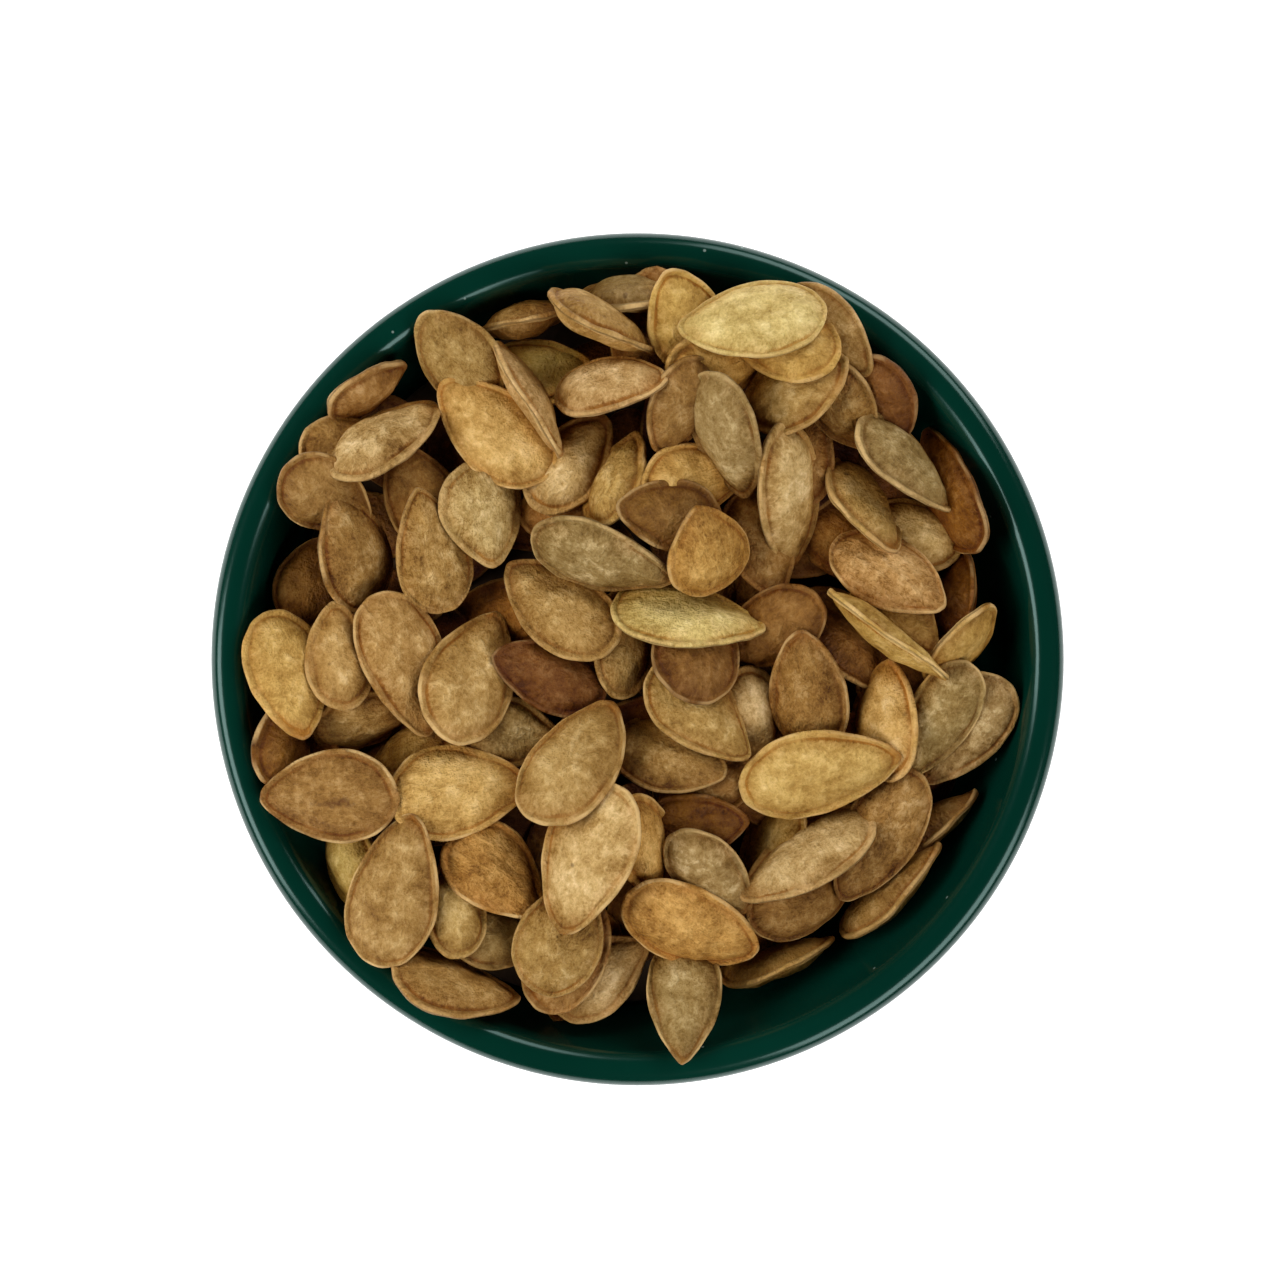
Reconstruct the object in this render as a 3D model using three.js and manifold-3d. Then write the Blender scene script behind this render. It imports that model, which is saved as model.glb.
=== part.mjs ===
// A round glazed stoneware bowl heaped with roasted pumpkin seeds in their shells.
// Millimetres, +Z up. The origin is on the bowl's axis, in the plane that its foot stands on.
// Seen from above, +X is to the right and +Y is away from the viewer.
import * as THREE from "three";
import { mergeVertices } from "three/addons/utils/BufferGeometryUtils.js";
import Module from "manifold-3d";

const wasm = await Module();
wasm.setup();
const { Manifold } = wasm;

// ---- The bowl's driving dimensions ----
const RIM_RADIUS = 55;
const BOWL_HEIGHT = 50;
const LIP_INNER_RADIUS = 50.5;
const LIP_OUTER_ROUND = 1.8;
const LIP_INNER_ROUND = 2.6;
const LIP_STEPS = 3;
const FLOOR_TOP = 7;
const UNDERSIDE = 3.2;
const FOOT_OUTER_RADIUS = 27;
const FOOT_INNER_RADIUS = 22.5;
const FOOT_ROUND = 0.8;
const FOOT_NECK = 0.5;
const WALL_CURVE = 1.6;
const WALL_FULLNESS = 0.5;
const OUTSIDE_DEPTH = 52;
const BOWL_SIDES = 48;
const WALL_STEPS = 7;

// ---- The heap's driving dimensions ----
const CLEARANCE = 0.3;
const HEAP_RADIUS = 52;
const HEAP_CROWN = 7;
const RIGHT_HOLLOW = 13;
const HOLLOW_CURVE = 1.6;
const HOLLOW_HEADING = -16 * Math.PI / 180;
const SUPPORT_DEPTH = 13.5;
const CORE_DEPTH = 6.5;
const CORE_SIDES = 24;
const CORE_WALL_GAP = 0.6;
const CORE_WALL_LEVELS = [0.06, 0.2, 0.45, 0.72, 1];
const CORE_TOP_RINGS = [0.82, 0.6, 0.38, 0.18];

// ---- One seed's driving dimensions ----
const SEED_THICKNESS = 3.2;
const SEED_TAPER = 0.3;
const SEED_WIDEST = 1.04;
const SEED_SIDES = 8;
const EDGE_SHARE = 0.24;
const CROWN_SHARE = 0.56;

// ---- How the seeds come to rest ----
const SEED_SINK = 0.8;
const WEDGED_SINK = 3;
const STANDING_ROLL = 24;
const FREE_ROLL_STEP = 11;
const HELD_ROLL_STEP = 4;
const PITCH_STEP = 6;
const UNDER_SEEDS = 60;
const UNDER_RADIUS = 45;
const GOLDEN_ANGLE = 2.39996;
const CELL = 1;
const HALF_FIELD = 60;

const GLAZE_GREEN = new THREE.Color().setRGB(0.02, 0.17, 0.13, THREE.SRGBColorSpace);
const ROASTED_SHELL = new THREE.Color().setRGB(0.69, 0.55, 0.34, THREE.SRGBColorSpace);

// ---- The bowl ----

// Radius of a wall at a depth under the rim: nearly upright at the top, then curving in to the floor.
function wallRadius(topRadius, depth, fullDepth) {
  const share = Math.min(Math.max(depth / fullDepth, 0), 1);
  return topRadius * Math.pow(1 - Math.pow(share, WALL_CURVE), WALL_FULLNESS);
}

function innerRadius(height) {
  return wallRadius(LIP_INNER_RADIUS, BOWL_HEIGHT - height, BOWL_HEIGHT - FLOOR_TOP);
}

function outerRadius(height) {
  return wallRadius(RIM_RADIUS, BOWL_HEIGHT - height, OUTSIDE_DEPTH);
}

// The height at which a wall has a radius, found by halving.
function heightOfRadius(radiusAt, radius, lowest) {
  let low = lowest;
  let high = BOWL_HEIGHT;
  while (high - low > 1e-5) {
    const middle = (low + high) / 2;
    if (radiusAt(middle) < radius) low = middle;
    else high = middle;
  }
  return high;
}

// The rounding of one of the lip's two corners, from one angle in degrees to another.
function lipCorner(radius, round, from, to) {
  return Array.from({ length: LIP_STEPS + 1 }, (unused, i) => {
    const angle = THREE.MathUtils.degToRad(from + (to - from) * i / LIP_STEPS);
    return new THREE.Vector2(radius + round * Math.cos(angle), BOWL_HEIGHT - round + round * Math.sin(angle));
  });
}

// The bowl's section as points of radius and height: foot, outside, lip and inside.
function bowlSection() {
  const points = [];
  const lipOutside = BOWL_HEIGHT - LIP_OUTER_ROUND;
  const lipInside = BOWL_HEIGHT - LIP_INNER_ROUND;
  points.push(new THREE.Vector2(0, UNDERSIDE));
  points.push(new THREE.Vector2(FOOT_INNER_RADIUS, UNDERSIDE));
  points.push(new THREE.Vector2(FOOT_INNER_RADIUS + FOOT_ROUND, 0));
  points.push(new THREE.Vector2(FOOT_OUTER_RADIUS - FOOT_ROUND, 0));
  points.push(new THREE.Vector2(FOOT_OUTER_RADIUS, FOOT_ROUND));
  const start = heightOfRadius(outerRadius, FOOT_OUTER_RADIUS + FOOT_NECK, UNDERSIDE);
  for (let i = 0; i < WALL_STEPS; i++) {
    const height = start + (lipOutside - start) * (i / WALL_STEPS);
    points.push(new THREE.Vector2(outerRadius(height), height));
  }
  points.push(...lipCorner(outerRadius(lipOutside) - LIP_OUTER_ROUND, LIP_OUTER_ROUND, 0, 90));
  points.push(...lipCorner(innerRadius(lipInside) + LIP_INNER_ROUND, LIP_INNER_ROUND, 90, 180));
  for (let i = 1; i < WALL_STEPS; i++) {
    const height = lipInside - (lipInside - FLOOR_TOP) * (i / WALL_STEPS);
    points.push(new THREE.Vector2(innerRadius(height), height));
  }
  points.push(new THREE.Vector2(0, FLOOR_TOP));
  return points;
}

// A section turned round the upright axis into a closed mesh.
function turned(points) {
  const geometry = new THREE.LatheGeometry(points, BOWL_SIDES);
  geometry.rotateX(Math.PI / 2);
  return geometry;
}

// ---- One seed ----

// A flat seed with its tip along +X: the point on its skin at an angle round it, a share
// of the way out from its middle, above (side 1) or below (side -1) its middle plane.
function seedPoint(seed, angle, share, side) {
  const across = Math.sin(angle) * (1 - SEED_TAPER * Math.cos(angle)) / SEED_WIDEST;
  const dome = Math.sqrt(Math.max(0, 1 - Math.pow(share, 3)));
  return new THREE.Vector3(
    seed.length / 2 * Math.cos(angle) * share,
    seed.width / 2 * across * share,
    side * SEED_THICKNESS / 2 * dome,
  );
}

// A seed's turn: rolled about its long axis, pitched tip up, then swung to its heading.
function seedTurn(heading, pitch, roll) {
  const turn = new THREE.Matrix4().makeRotationZ(THREE.MathUtils.degToRad(heading));
  turn.multiply(new THREE.Matrix4().makeRotationY(THREE.MathUtils.degToRad(-pitch)));
  turn.multiply(new THREE.Matrix4().makeRotationX(THREE.MathUtils.degToRad(roll)));
  return turn;
}

// Points spread over both faces of a seed.
function skinPoints(seed, rings, spokes) {
  const points = [];
  for (let i = 0; i <= rings; i++) {
    for (let j = 0; j < spokes; j++) {
      const angle = 2 * Math.PI * j / spokes;
      points.push(seedPoint(seed, angle, i / rings, 1));
      points.push(seedPoint(seed, angle, i / rings, -1));
    }
  }
  return points;
}

// ---- What the seeds rest on ----

// The height that the heap is filled to, lower at the right, where the seeds stop short of the rim.
function heapTop(x, y) {
  const reach = Math.hypot(x, y) / HEAP_RADIUS;
  const along = x * Math.cos(HOLLOW_HEADING) + y * Math.sin(HOLLOW_HEADING);
  const toRight = Math.max(0, along / HEAP_RADIUS);
  return BOWL_HEIGHT + HEAP_CROWN * (1 - reach * reach) - RIGHT_HOLLOW * Math.pow(toRight, HOLLOW_CURVE);
}

function supportHeight(x, y) {
  return heapTop(x, y) - SUPPORT_DEPTH;
}

function coreHeight(x, y) {
  return heapTop(x, y) - CORE_DEPTH;
}

// The top of the bowl's wall under a point, and far below once past the rim.
function bowlHeight(x, y) {
  const radius = Math.hypot(x, y);
  if (radius > RIM_RADIUS) return -100;
  if (radius > LIP_INNER_RADIUS) return BOWL_HEIGHT;
  return heightOfRadius(innerRadius, radius, FLOOR_TOP);
}

// A surface kept as one height for each square of a grid.
function makeField(heightAt) {
  const cells = Math.round(2 * HALF_FIELD / CELL);
  const heights = new Float64Array(cells * cells);
  for (let row = 0; row < cells; row++) {
    for (let column = 0; column < cells; column++) {
      const x = (column + 0.5) * CELL - HALF_FIELD;
      const y = (row + 0.5) * CELL - HALF_FIELD;
      heights[row * cells + column] = heightAt(x, y);
    }
  }
  return { cells, heights };
}

function cellAt(field, x, y) {
  const column = Math.floor((x + HALF_FIELD) / CELL);
  const row = Math.floor((y + HALF_FIELD) / CELL);
  return row * field.cells + column;
}

// The height at which a turned seed touches what is under it. A seed on its edge is wedged in deeper.
function restingHeight(points, turn, seed, heap, bowl) {
  const onEdge = Math.pow(Math.sin(THREE.MathUtils.degToRad(seed.roll)), 2);
  const sink = SEED_SINK + WEDGED_SINK * onEdge;
  const point = new THREE.Vector3();
  let height = -1000;
  for (const local of points) {
    point.copy(local).applyMatrix4(turn);
    const cell = cellAt(heap, seed.x + point.x, seed.y + point.y);
    const onHeap = heap.heights[cell] - point.z - sink;
    const onBowl = bowl.heights[cell] - point.z + CLEARANCE;
    height = Math.max(height, onHeap, onBowl);
  }
  return height;
}

// Lets a seed come to rest: of the small pitches and rolls round its own, the one that sits lowest.
function settle(seed, heap, bowl) {
  const points = skinPoints(seed, 4, 16);
  const rollStep = Math.abs(seed.roll) > STANDING_ROLL ? HELD_ROLL_STEP : FREE_ROLL_STEP;
  let best = null;
  for (let i = -4; i <= 4; i++) {
    for (let j = -2; j <= 2; j++) {
      const pitch = i * PITCH_STEP;
      const roll = seed.roll + j * rollStep;
      const turn = seedTurn(seed.heading, pitch, roll);
      const height = restingHeight(points, turn, seed, heap, bowl);
      const cost = height + 0.01 * (Math.abs(pitch) + Math.abs(j * rollStep));
      if (!best || cost < best.cost) best = { cost, height, pitch, roll, turn };
    }
  }
  const point = new THREE.Vector3();
  for (const local of skinPoints(seed, 12, 40)) {
    point.copy(local).applyMatrix4(best.turn);
    const cell = cellAt(heap, seed.x + point.x, seed.y + point.y);
    heap.heights[cell] = Math.max(heap.heights[cell], best.height + point.z);
  }
  return { ...seed, height: best.height, pitch: best.pitch, roll: best.roll };
}

// ---- Where the seeds lie ----

// A repeatable draw of numbers between 0 and 1.
function makeDraw(start) {
  let state = start >>> 0;
  return () => {
    state = (Math.imul(state, 1664525) + 1013904223) >>> 0;
    return state / 4294967296;
  };
}

// The lower seeds, which show only in the gaps: spread on a spiral, with sizes and headings drawn.
function underSeeds() {
  const draw = makeDraw(11);
  const seeds = [];
  for (let i = 0; i < UNDER_SEEDS; i++) {
    const radius = UNDER_RADIUS * Math.sqrt((i + 0.5) / UNDER_SEEDS);
    const angle = i * GOLDEN_ANGLE;
    seeds.push({
      x: radius * Math.cos(angle) + 2 * draw() - 1,
      y: radius * Math.sin(angle) + 2 * draw() - 1,
      heading: 360 * draw(),
      length: 14 + 4 * draw(),
      width: 9 + 2 * draw(),
      roll: 50 * draw() - 25,
    });
  }
  return seeds;
}

// The seeds that show, from the lowest to the highest, each as
// [x, y, heading of the tip in degrees, length, width, roll in degrees].
const NEAR_THE_WALL = [
  [-14, 44.5, 18, 14.5, 10.5, -70],
  [-0.5, 47, 0, 14.5, 9.5, -72],
  [41.5, 9, 82, 14.5, 9.5, -65],
  [-43, 10, 75, 13, 9, 20],
  [-45.5, -10, 80, 13.5, 9, 20],
  [28, 1.5, -45, 14.5, 9.5, -50],
  [35.5, 16.5, 160, 14.5, 9.5, 20],
  [32, 34, -62, 13, 9, 35],
  [-38, 27.5, 0, 13, 9, 10],
  [-37.5, -27.5, -65, 15, 9.5, 30],
  [-28.5, -11, 25, 14.5, 9.5, -55],
  [-35, -7.5, 15, 15, 9.5, 50],
  [39, -22, 40, 15.5, 9.5, -72],
  [42, 2, 52, 13.5, 9.5, 58],
  [18.5, -40, 20, 16.5, 10.5, -70],
  [33.5, -30.5, 43, 19, 11, -70],
  [40.5, 22, 112, 19, 11, -60],
  [-23.5, -42, -18, 18, 11.5, -48],
  [-5, -41, 35, 15.5, 10, 0],
  [6, -44, -90, 17, 10, 0],
];
const LOWER_LAYER = [
  [-18, -36, 0, 14, 9, 0],
  [16, 15, -75, 15, 9.5, 0],
  [15, -8, -78, 14.5, 9, -30],
  [9, -16.5, 10, 14.5, 9, 0],
  [7.5, -21.5, 5, 14, 9, 0],
  [0.5, -24, -72, 14.5, 9, -30],
  [-16.5, -9.5, -10, 14.5, 9.5, 0],
  [4, -12.5, -15, 15.5, 10.5, 0],
  [18, -24, 70, 14.5, 9, -30],
  [21, -32, 10, 15, 9.5, 0],
  [-9, 19, 5, 13, 8, 0],
  [33.5, 5.5, -40, 13.5, 9.5, 0],
  [21, 27, 85, 15, 9.5, -20],
];
const MIDDLE_LAYER = [
  [-8.5, 25.5, 52, 15.5, 10, 0],
  [-2.5, 23, 70, 14, 9, -48],
  [7, 23, 10, 15, 10, 0],
  [4, 18.5, 170, 14, 9.5, 0],
  [-13.5, 37, 10, 15.5, 10, 0],
  [-23, 39, 130, 15, 10.5, 0],
  [6, 43.5, 105, 14, 10.5, 0],
  [24.5, 42, -45, 15, 9.5, 25],
  [26.5, 32.5, -60, 13.5, 9, 0],
  [10, 37.5, 10, 14.5, 9.5, 0],
  [20.5, 34.5, 30, 15.5, 10, -25],
  [19, 40.5, 165, 14.5, 10.5, 0],
  [5.5, 32.5, -115, 14, 9.5, -42],
  [-3.5, 35, 6, 16, 10, -40],
  [-40, 21, -35, 14, 10.5, 10],
  [-28, 21, 115, 15.5, 10, 20],
  [-36.5, 14, 108, 17, 11, 42],
  [-45, -2, -73, 18, 11, 0],
  [-38.5, 0.5, 95, 14.5, 9, 0],
  [-30, -0.5, -72, 19.5, 11.5, 0],
  [-21.5, -2, 70, 19, 12.5, 0],
  [-11.5, -2, 160, 16, 9.5, 0],
  [-2, 2, 92, 14.5, 8.5, 0],
  [17.5, 4, 212, 15.5, 10, 0],
  [8, -7, -45, 17, 11, 0],
  [7.5, 2, 90, 16, 11.5, 0],
  [32.5, 11, -33, 17, 10.5, -18],
  [29.5, 20, -62, 16, 10.5, -42],
  [34.5, 25, -41, 17.5, 10, -50],
  [42.5, -9, 235, 17, 11, 0],
  [39, -8, 243, 17.5, 9, 15],
  [31.5, -23, 240, 19.5, 10.5, 0],
  [32, -8, 90, 16, 10.5, -42],
  [-23.5, -31.5, 95, 14.5, 8, 0],
  [-18, -27.5, -40, 15.5, 11.5, 0],
  [-9, -38.5, 60, 16, 10.5, 0],
  [-10, -36, 65, 15.5, 11.5, 0],
  [9.5, -27.5, -45, 15.5, 8.5, 0],
];
const TOP_LAYER = [
  [-23, -17, 5, 18.5, 12.5, 0],
  [-31, -29.5, 78, 20, 12, 0],
  [-39.5, -17.5, 180, 18.5, 12, 0],
  [-6.5, -25.5, -110, 21, 12.5, 0],
  [-8, -13, 58, 20, 12, 0],
  [22, -4, 98, 17, 10.5, 0],
  [23.5, -14.5, 12, 21, 11.5, 0],
  [22, -25.5, 212, 20.5, 11, 50],
  [7, -34.5, -22, 19, 11.5, 0],
  [-10, 6.5, 140, 18, 11, 0],
  [6.5, 5.5, -9, 20.5, 11.5, -54],
  [-4.5, 13, -17, 19, 11, 20],
  [9, 14, 100, 12.5, 11.5, 0],
  [-26.5, 14, 103, 16.5, 10, 15],
  [-20, 18.5, -80, 14, 11.5, 0],
  [-18.5, 29.5, 138, 18.5, 11.5, -16],
  [-32.5, 28.5, 34, 17.5, 10.5, -48],
  [-13.5, 33.5, -61, 18.5, 10.5, -86],
  [-34.5, 34.5, 36, 12.5, 9, 68],
  [-4.5, 43, -27, 16.5, 10.5, -68],
  [14.5, 43, 187, 19.5, 11, 12],
  [11.5, 28.5, -73, 18, 10, 45],
  [19.5, 21, -84, 20, 10.5, -44],
  [32, 3, -37, 19.5, 11, -86],
];

function seedFromRow([x, y, heading, length, width, roll]) {
  return { x, y, heading, length, width, roll };
}

// All the seeds, each at rest on the support, the bowl and the seeds placed before it.
function heapedSeeds() {
  const heap = makeField(supportHeight);
  const bowl = makeField(bowlHeight);
  const shown = [...NEAR_THE_WALL, ...LOWER_LAYER, ...MIDDLE_LAYER, ...TOP_LAYER].map(seedFromRow);
  return [...underSeeds(), ...shown].map((seed) => settle(seed, heap, bowl));
}

// ---- Solids ----

function solidFrom(positions, triangles) {
  const mesh = new wasm.Mesh({
    numProp: 3,
    vertProperties: new Float32Array(positions),
    triVerts: new Uint32Array(triangles),
  });
  return new Manifold(mesh);
}

function solidFromGeometry(geometry) {
  geometry.deleteAttribute("normal");
  geometry.deleteAttribute("uv");
  const merged = mergeVertices(geometry, 1e-4);
  return solidFrom(merged.attributes.position.array, merged.index.array);
}

// A closed skin of rings between a lower and an upper point, as a solid.
function solidFromRings(bottom, rings, top) {
  const sides = rings[0].length;
  const corners = [bottom, ...rings.flat(), top];
  const last = corners.length - 1;
  const rim = last - sides;
  const triangles = [];
  for (let j = 0; j < sides; j++) {
    const next = (j + 1) % sides;
    triangles.push(0, 1 + next, 1 + j);
    for (let low = 1; low < rim; low += sides) {
      const high = low + sides;
      triangles.push(low + j, low + next, high + next);
      triangles.push(low + j, high + next, high + j);
    }
    triangles.push(last, rim + j, rim + next);
  }
  return solidFrom(corners.flatMap((corner) => corner.toArray()), triangles);
}

// A seed with few sides: its outline in two levels, closed by a low point above and below.
function seedSolid(seed) {
  const turn = seedTurn(seed.heading, seed.pitch, seed.roll);
  const place = new THREE.Matrix4().makeTranslation(seed.x, seed.y, seed.height).multiply(turn);
  const outline = (side) => Array.from({ length: SEED_SIDES }, (unused, j) => {
    const point = seedPoint(seed, 2 * Math.PI * j / SEED_SIDES, 1, side);
    point.z = side * SEED_THICKNESS * EDGE_SHARE;
    return point.applyMatrix4(place);
  });
  const crown = (side) => new THREE.Vector3(0, 0, side * SEED_THICKNESS * CROWN_SHARE).applyMatrix4(place);
  return solidFromRings(crown(-1), [outline(-1), outline(1)], crown(1));
}

// Where the core's top meets the wall, going round: the outermost radius that clears it, with its height.
function coreEdge() {
  return Array.from({ length: CORE_SIDES }, (unused, j) => {
    const angle = 2 * Math.PI * j / CORE_SIDES;
    const heightAt = (radius) => coreHeight(radius * Math.cos(angle), radius * Math.sin(angle));
    let radius = LIP_INNER_RADIUS;
    while (innerRadius(heightAt(radius)) < radius + CORE_WALL_GAP) radius -= 0.1;
    return { angle, radius, height: heightAt(radius) };
  });
}

// The inside of the heap: it fills the bowl up to the seeds that show.
function coreSolid() {
  const floor = FLOOR_TOP + CLEARANCE;
  const edge = coreEdge();
  const wallRing = (share) => edge.map(({ angle, height }) => {
    const level = floor + (height - floor) * share;
    const radius = innerRadius(level) - CORE_WALL_GAP;
    return new THREE.Vector3(radius * Math.cos(angle), radius * Math.sin(angle), level);
  });
  const topRing = (share) => edge.map(({ angle, radius }) => {
    const x = radius * share * Math.cos(angle);
    const y = radius * share * Math.sin(angle);
    return new THREE.Vector3(x, y, coreHeight(x, y));
  });
  const rings = [...CORE_WALL_LEVELS.map(wallRing), ...CORE_TOP_RINGS.map(topRing)];
  const top = new THREE.Vector3(0, 0, coreHeight(0, 0));
  return solidFromRings(new THREE.Vector3(0, 0, floor), rings, top);
}

// The space that the bowl takes, grown by the clearance, so that no seed touches it.
function bowlSpace() {
  const section = bowlSection();
  const last = section.length - 1;
  const grown = section.map((point, i) => {
    const along = section[Math.min(i + 1, last)].clone().sub(section[Math.max(i - 1, 0)]).normalize();
    const outward = new THREE.Vector2(along.y, -along.x);
    const moved = point.clone().addScaledVector(outward, CLEARANCE);
    if (i === 0 || i === last) moved.x = 0;
    return moved;
  });
  return solidFromGeometry(turned(grown));
}

// The heap as one body: sealed hollows are filled and loose scraps dropped.
function heapSolid() {
  const seeds = heapedSeeds().map(seedSolid);
  const joined = Manifold.union([coreSolid(), ...seeds]).subtract(bowlSpace());
  const bodies = joined.decompose().sort((a, b) => b.volume() - a.volume());
  return bodies[0];
}

function geometryFromSolid(solid) {
  const mesh = solid.getMesh();
  const geometry = new THREE.BufferGeometry();
  geometry.setAttribute("position", new THREE.BufferAttribute(mesh.vertProperties, 3));
  geometry.setIndex(new THREE.BufferAttribute(mesh.triVerts, 1));
  geometry.computeVertexNormals();
  return geometry;
}

// ---- The named pieces ----

function makeBowl() {
  const material = new THREE.MeshStandardMaterial({ color: GLAZE_GREEN, roughness: 0.12, metalness: 0 });
  const bowl = new THREE.Mesh(turned(bowlSection()), material);
  bowl.name = "bowl";
  return bowl;
}

function makeSeedHeap() {
  const material = new THREE.MeshStandardMaterial({ color: ROASTED_SHELL, roughness: 0.7, metalness: 0 });
  const heap = new THREE.Mesh(geometryFromSolid(heapSolid()), material);
  heap.name = "pumpkin_seeds";
  return heap;
}

const part = new THREE.Group();
part.name = "bowl_of_pumpkin_seeds";
part.add(makeBowl());
part.add(makeSeedHeap());

export default part;
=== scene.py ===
# %% [markdown]
# # A bowl of roasted pumpkin seeds
# This lesson dresses a small bowl heaped with roasted pumpkin seeds. The packed model
# gives the sizes and the places: a bowl of revolution and one rough solid for the heap.
# The finished bowl is spun again with a smooth lip, and the heap is built from loose
# seeds, because seen close up it is the single husks that make it look like food.
# Lengths on the bowl are in millimetres and are multiplied by MM where a shape is made,
# because Blender works in metres. The floor and the lights, which are large, are in
# metres. The bowl's axis is upright and its foot is at height zero.

# %% Load the packed model
import math

import bmesh
import bpy
import numpy as np
from mathutils import Matrix, Vector


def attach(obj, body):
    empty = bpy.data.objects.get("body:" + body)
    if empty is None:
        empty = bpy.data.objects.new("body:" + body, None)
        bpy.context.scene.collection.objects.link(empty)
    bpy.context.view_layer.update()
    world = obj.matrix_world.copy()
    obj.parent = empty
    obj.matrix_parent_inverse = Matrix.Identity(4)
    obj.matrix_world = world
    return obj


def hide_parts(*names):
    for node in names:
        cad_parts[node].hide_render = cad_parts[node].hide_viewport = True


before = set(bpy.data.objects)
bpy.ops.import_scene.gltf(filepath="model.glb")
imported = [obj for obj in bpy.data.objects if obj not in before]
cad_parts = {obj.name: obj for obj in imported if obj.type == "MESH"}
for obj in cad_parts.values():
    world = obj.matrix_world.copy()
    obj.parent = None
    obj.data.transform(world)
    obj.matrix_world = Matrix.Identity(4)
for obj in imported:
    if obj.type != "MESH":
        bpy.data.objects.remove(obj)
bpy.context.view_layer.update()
MM = 0.001
print("packed nodes:", sorted(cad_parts))

# %% [markdown]
# The bowl is seen from straight above. A long lens set well back keeps the rim round and
# shows a little more of the high seeds than of the low ones. The picture is a few
# millimetres off the bowl's axis, which the lens shift takes up.

# %% Place the camera above the bowl
IMAGE_WIDTH = 1280
IMAGE_HEIGHT = 1270
BOWL_MIDDLE_PX = (637.5, 659.3)
PX_PER_MM = 7.76
BOWL_HEIGHT = 50.0
LENS = 90.0
SENSOR = 36.0
NEAREST_SEEN = 0.01

seen_width = IMAGE_WIDTH / PX_PER_MM
camera_distance = seen_width * LENS / SENSOR
camera_data = bpy.data.cameras.new("camera")
camera_data.lens = LENS
camera_data.sensor_width = SENSOR
camera_data.clip_start = NEAREST_SEEN
camera_data.shift_x = (IMAGE_WIDTH / 2 - BOWL_MIDDLE_PX[0]) / IMAGE_WIDTH
camera_data.shift_y = (BOWL_MIDDLE_PX[1] - IMAGE_HEIGHT / 2) / IMAGE_WIDTH
camera = bpy.data.objects.new("camera", camera_data)
camera.location = (0, 0, (BOWL_HEIGHT + camera_distance) * MM)
bpy.context.scene.collection.objects.link(camera)
bpy.context.scene.camera = camera
print("camera height, mm:", round(camera.location.z / MM))

# %% [markdown]
# A finish is a small network of shader nodes, and two helpers keep it readable. The first
# holds one output and turns Python's operators into Math nodes, so that a mask can be
# written as a sum. Its step and its band are masks with soft ends.

# %% Write sums of wires
class Wire:
    """One output of a node. Arithmetic on it adds Math nodes."""

    def __init__(self, finish, socket):
        self.finish = finish
        self.socket = socket

    def maths(self, operation, *values):
        inputs = dict(enumerate(values))
        return self.finish.node("ShaderNodeMath", {"operation": operation}, inputs)

    def __add__(self, other):
        return self.maths("ADD", self, other)

    def __radd__(self, other):
        return self.maths("ADD", other, self)

    def __sub__(self, other):
        return self.maths("SUBTRACT", self, other)

    def __rsub__(self, other):
        return self.maths("SUBTRACT", other, self)

    def __mul__(self, other):
        return self.maths("MULTIPLY", self, other)

    def __pow__(self, exponent):
        return self.maths("POWER", self, exponent)

    def __abs__(self):
        return self.maths("ABSOLUTE", self)

    def at_least(self, lowest):
        return self.maths("MAXIMUM", self, lowest)

    def step(self, low, high):
        """0 below low, 1 above high, smooth between."""
        settings = {"interpolation_type": "SMOOTHSTEP"}
        inputs = {"Value": self, "From Min": low, "From Max": high}
        return self.finish.node("ShaderNodeMapRange", settings, inputs)

    def band(self, rise_low, rise_high, fall_low, fall_high):
        """1 within a range and 0 outside it, smooth at both ends."""
        return self.step(rise_low, rise_high) * (1 - self.step(fall_low, fall_high))


print("a wire can:", [name for name in vars(Wire) if not name.startswith("__")])

# %% [markdown]
# The second helper makes any other node from its type, its settings and its inputs, in
# that order, because some sockets only exist once the settings are made. It also knows the
# few patterns that the finishes share: noise, spots, a bump, and the change of colour that
# roasting makes.

# %% Write finishes
SOCKETS = {
    "base_color": "Base Color",
    "roughness": "Roughness",
    "normal": "Normal",
    "gloss": "Specular IOR Level",
    "gloss_tint": "Specular Tint",
}


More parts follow.
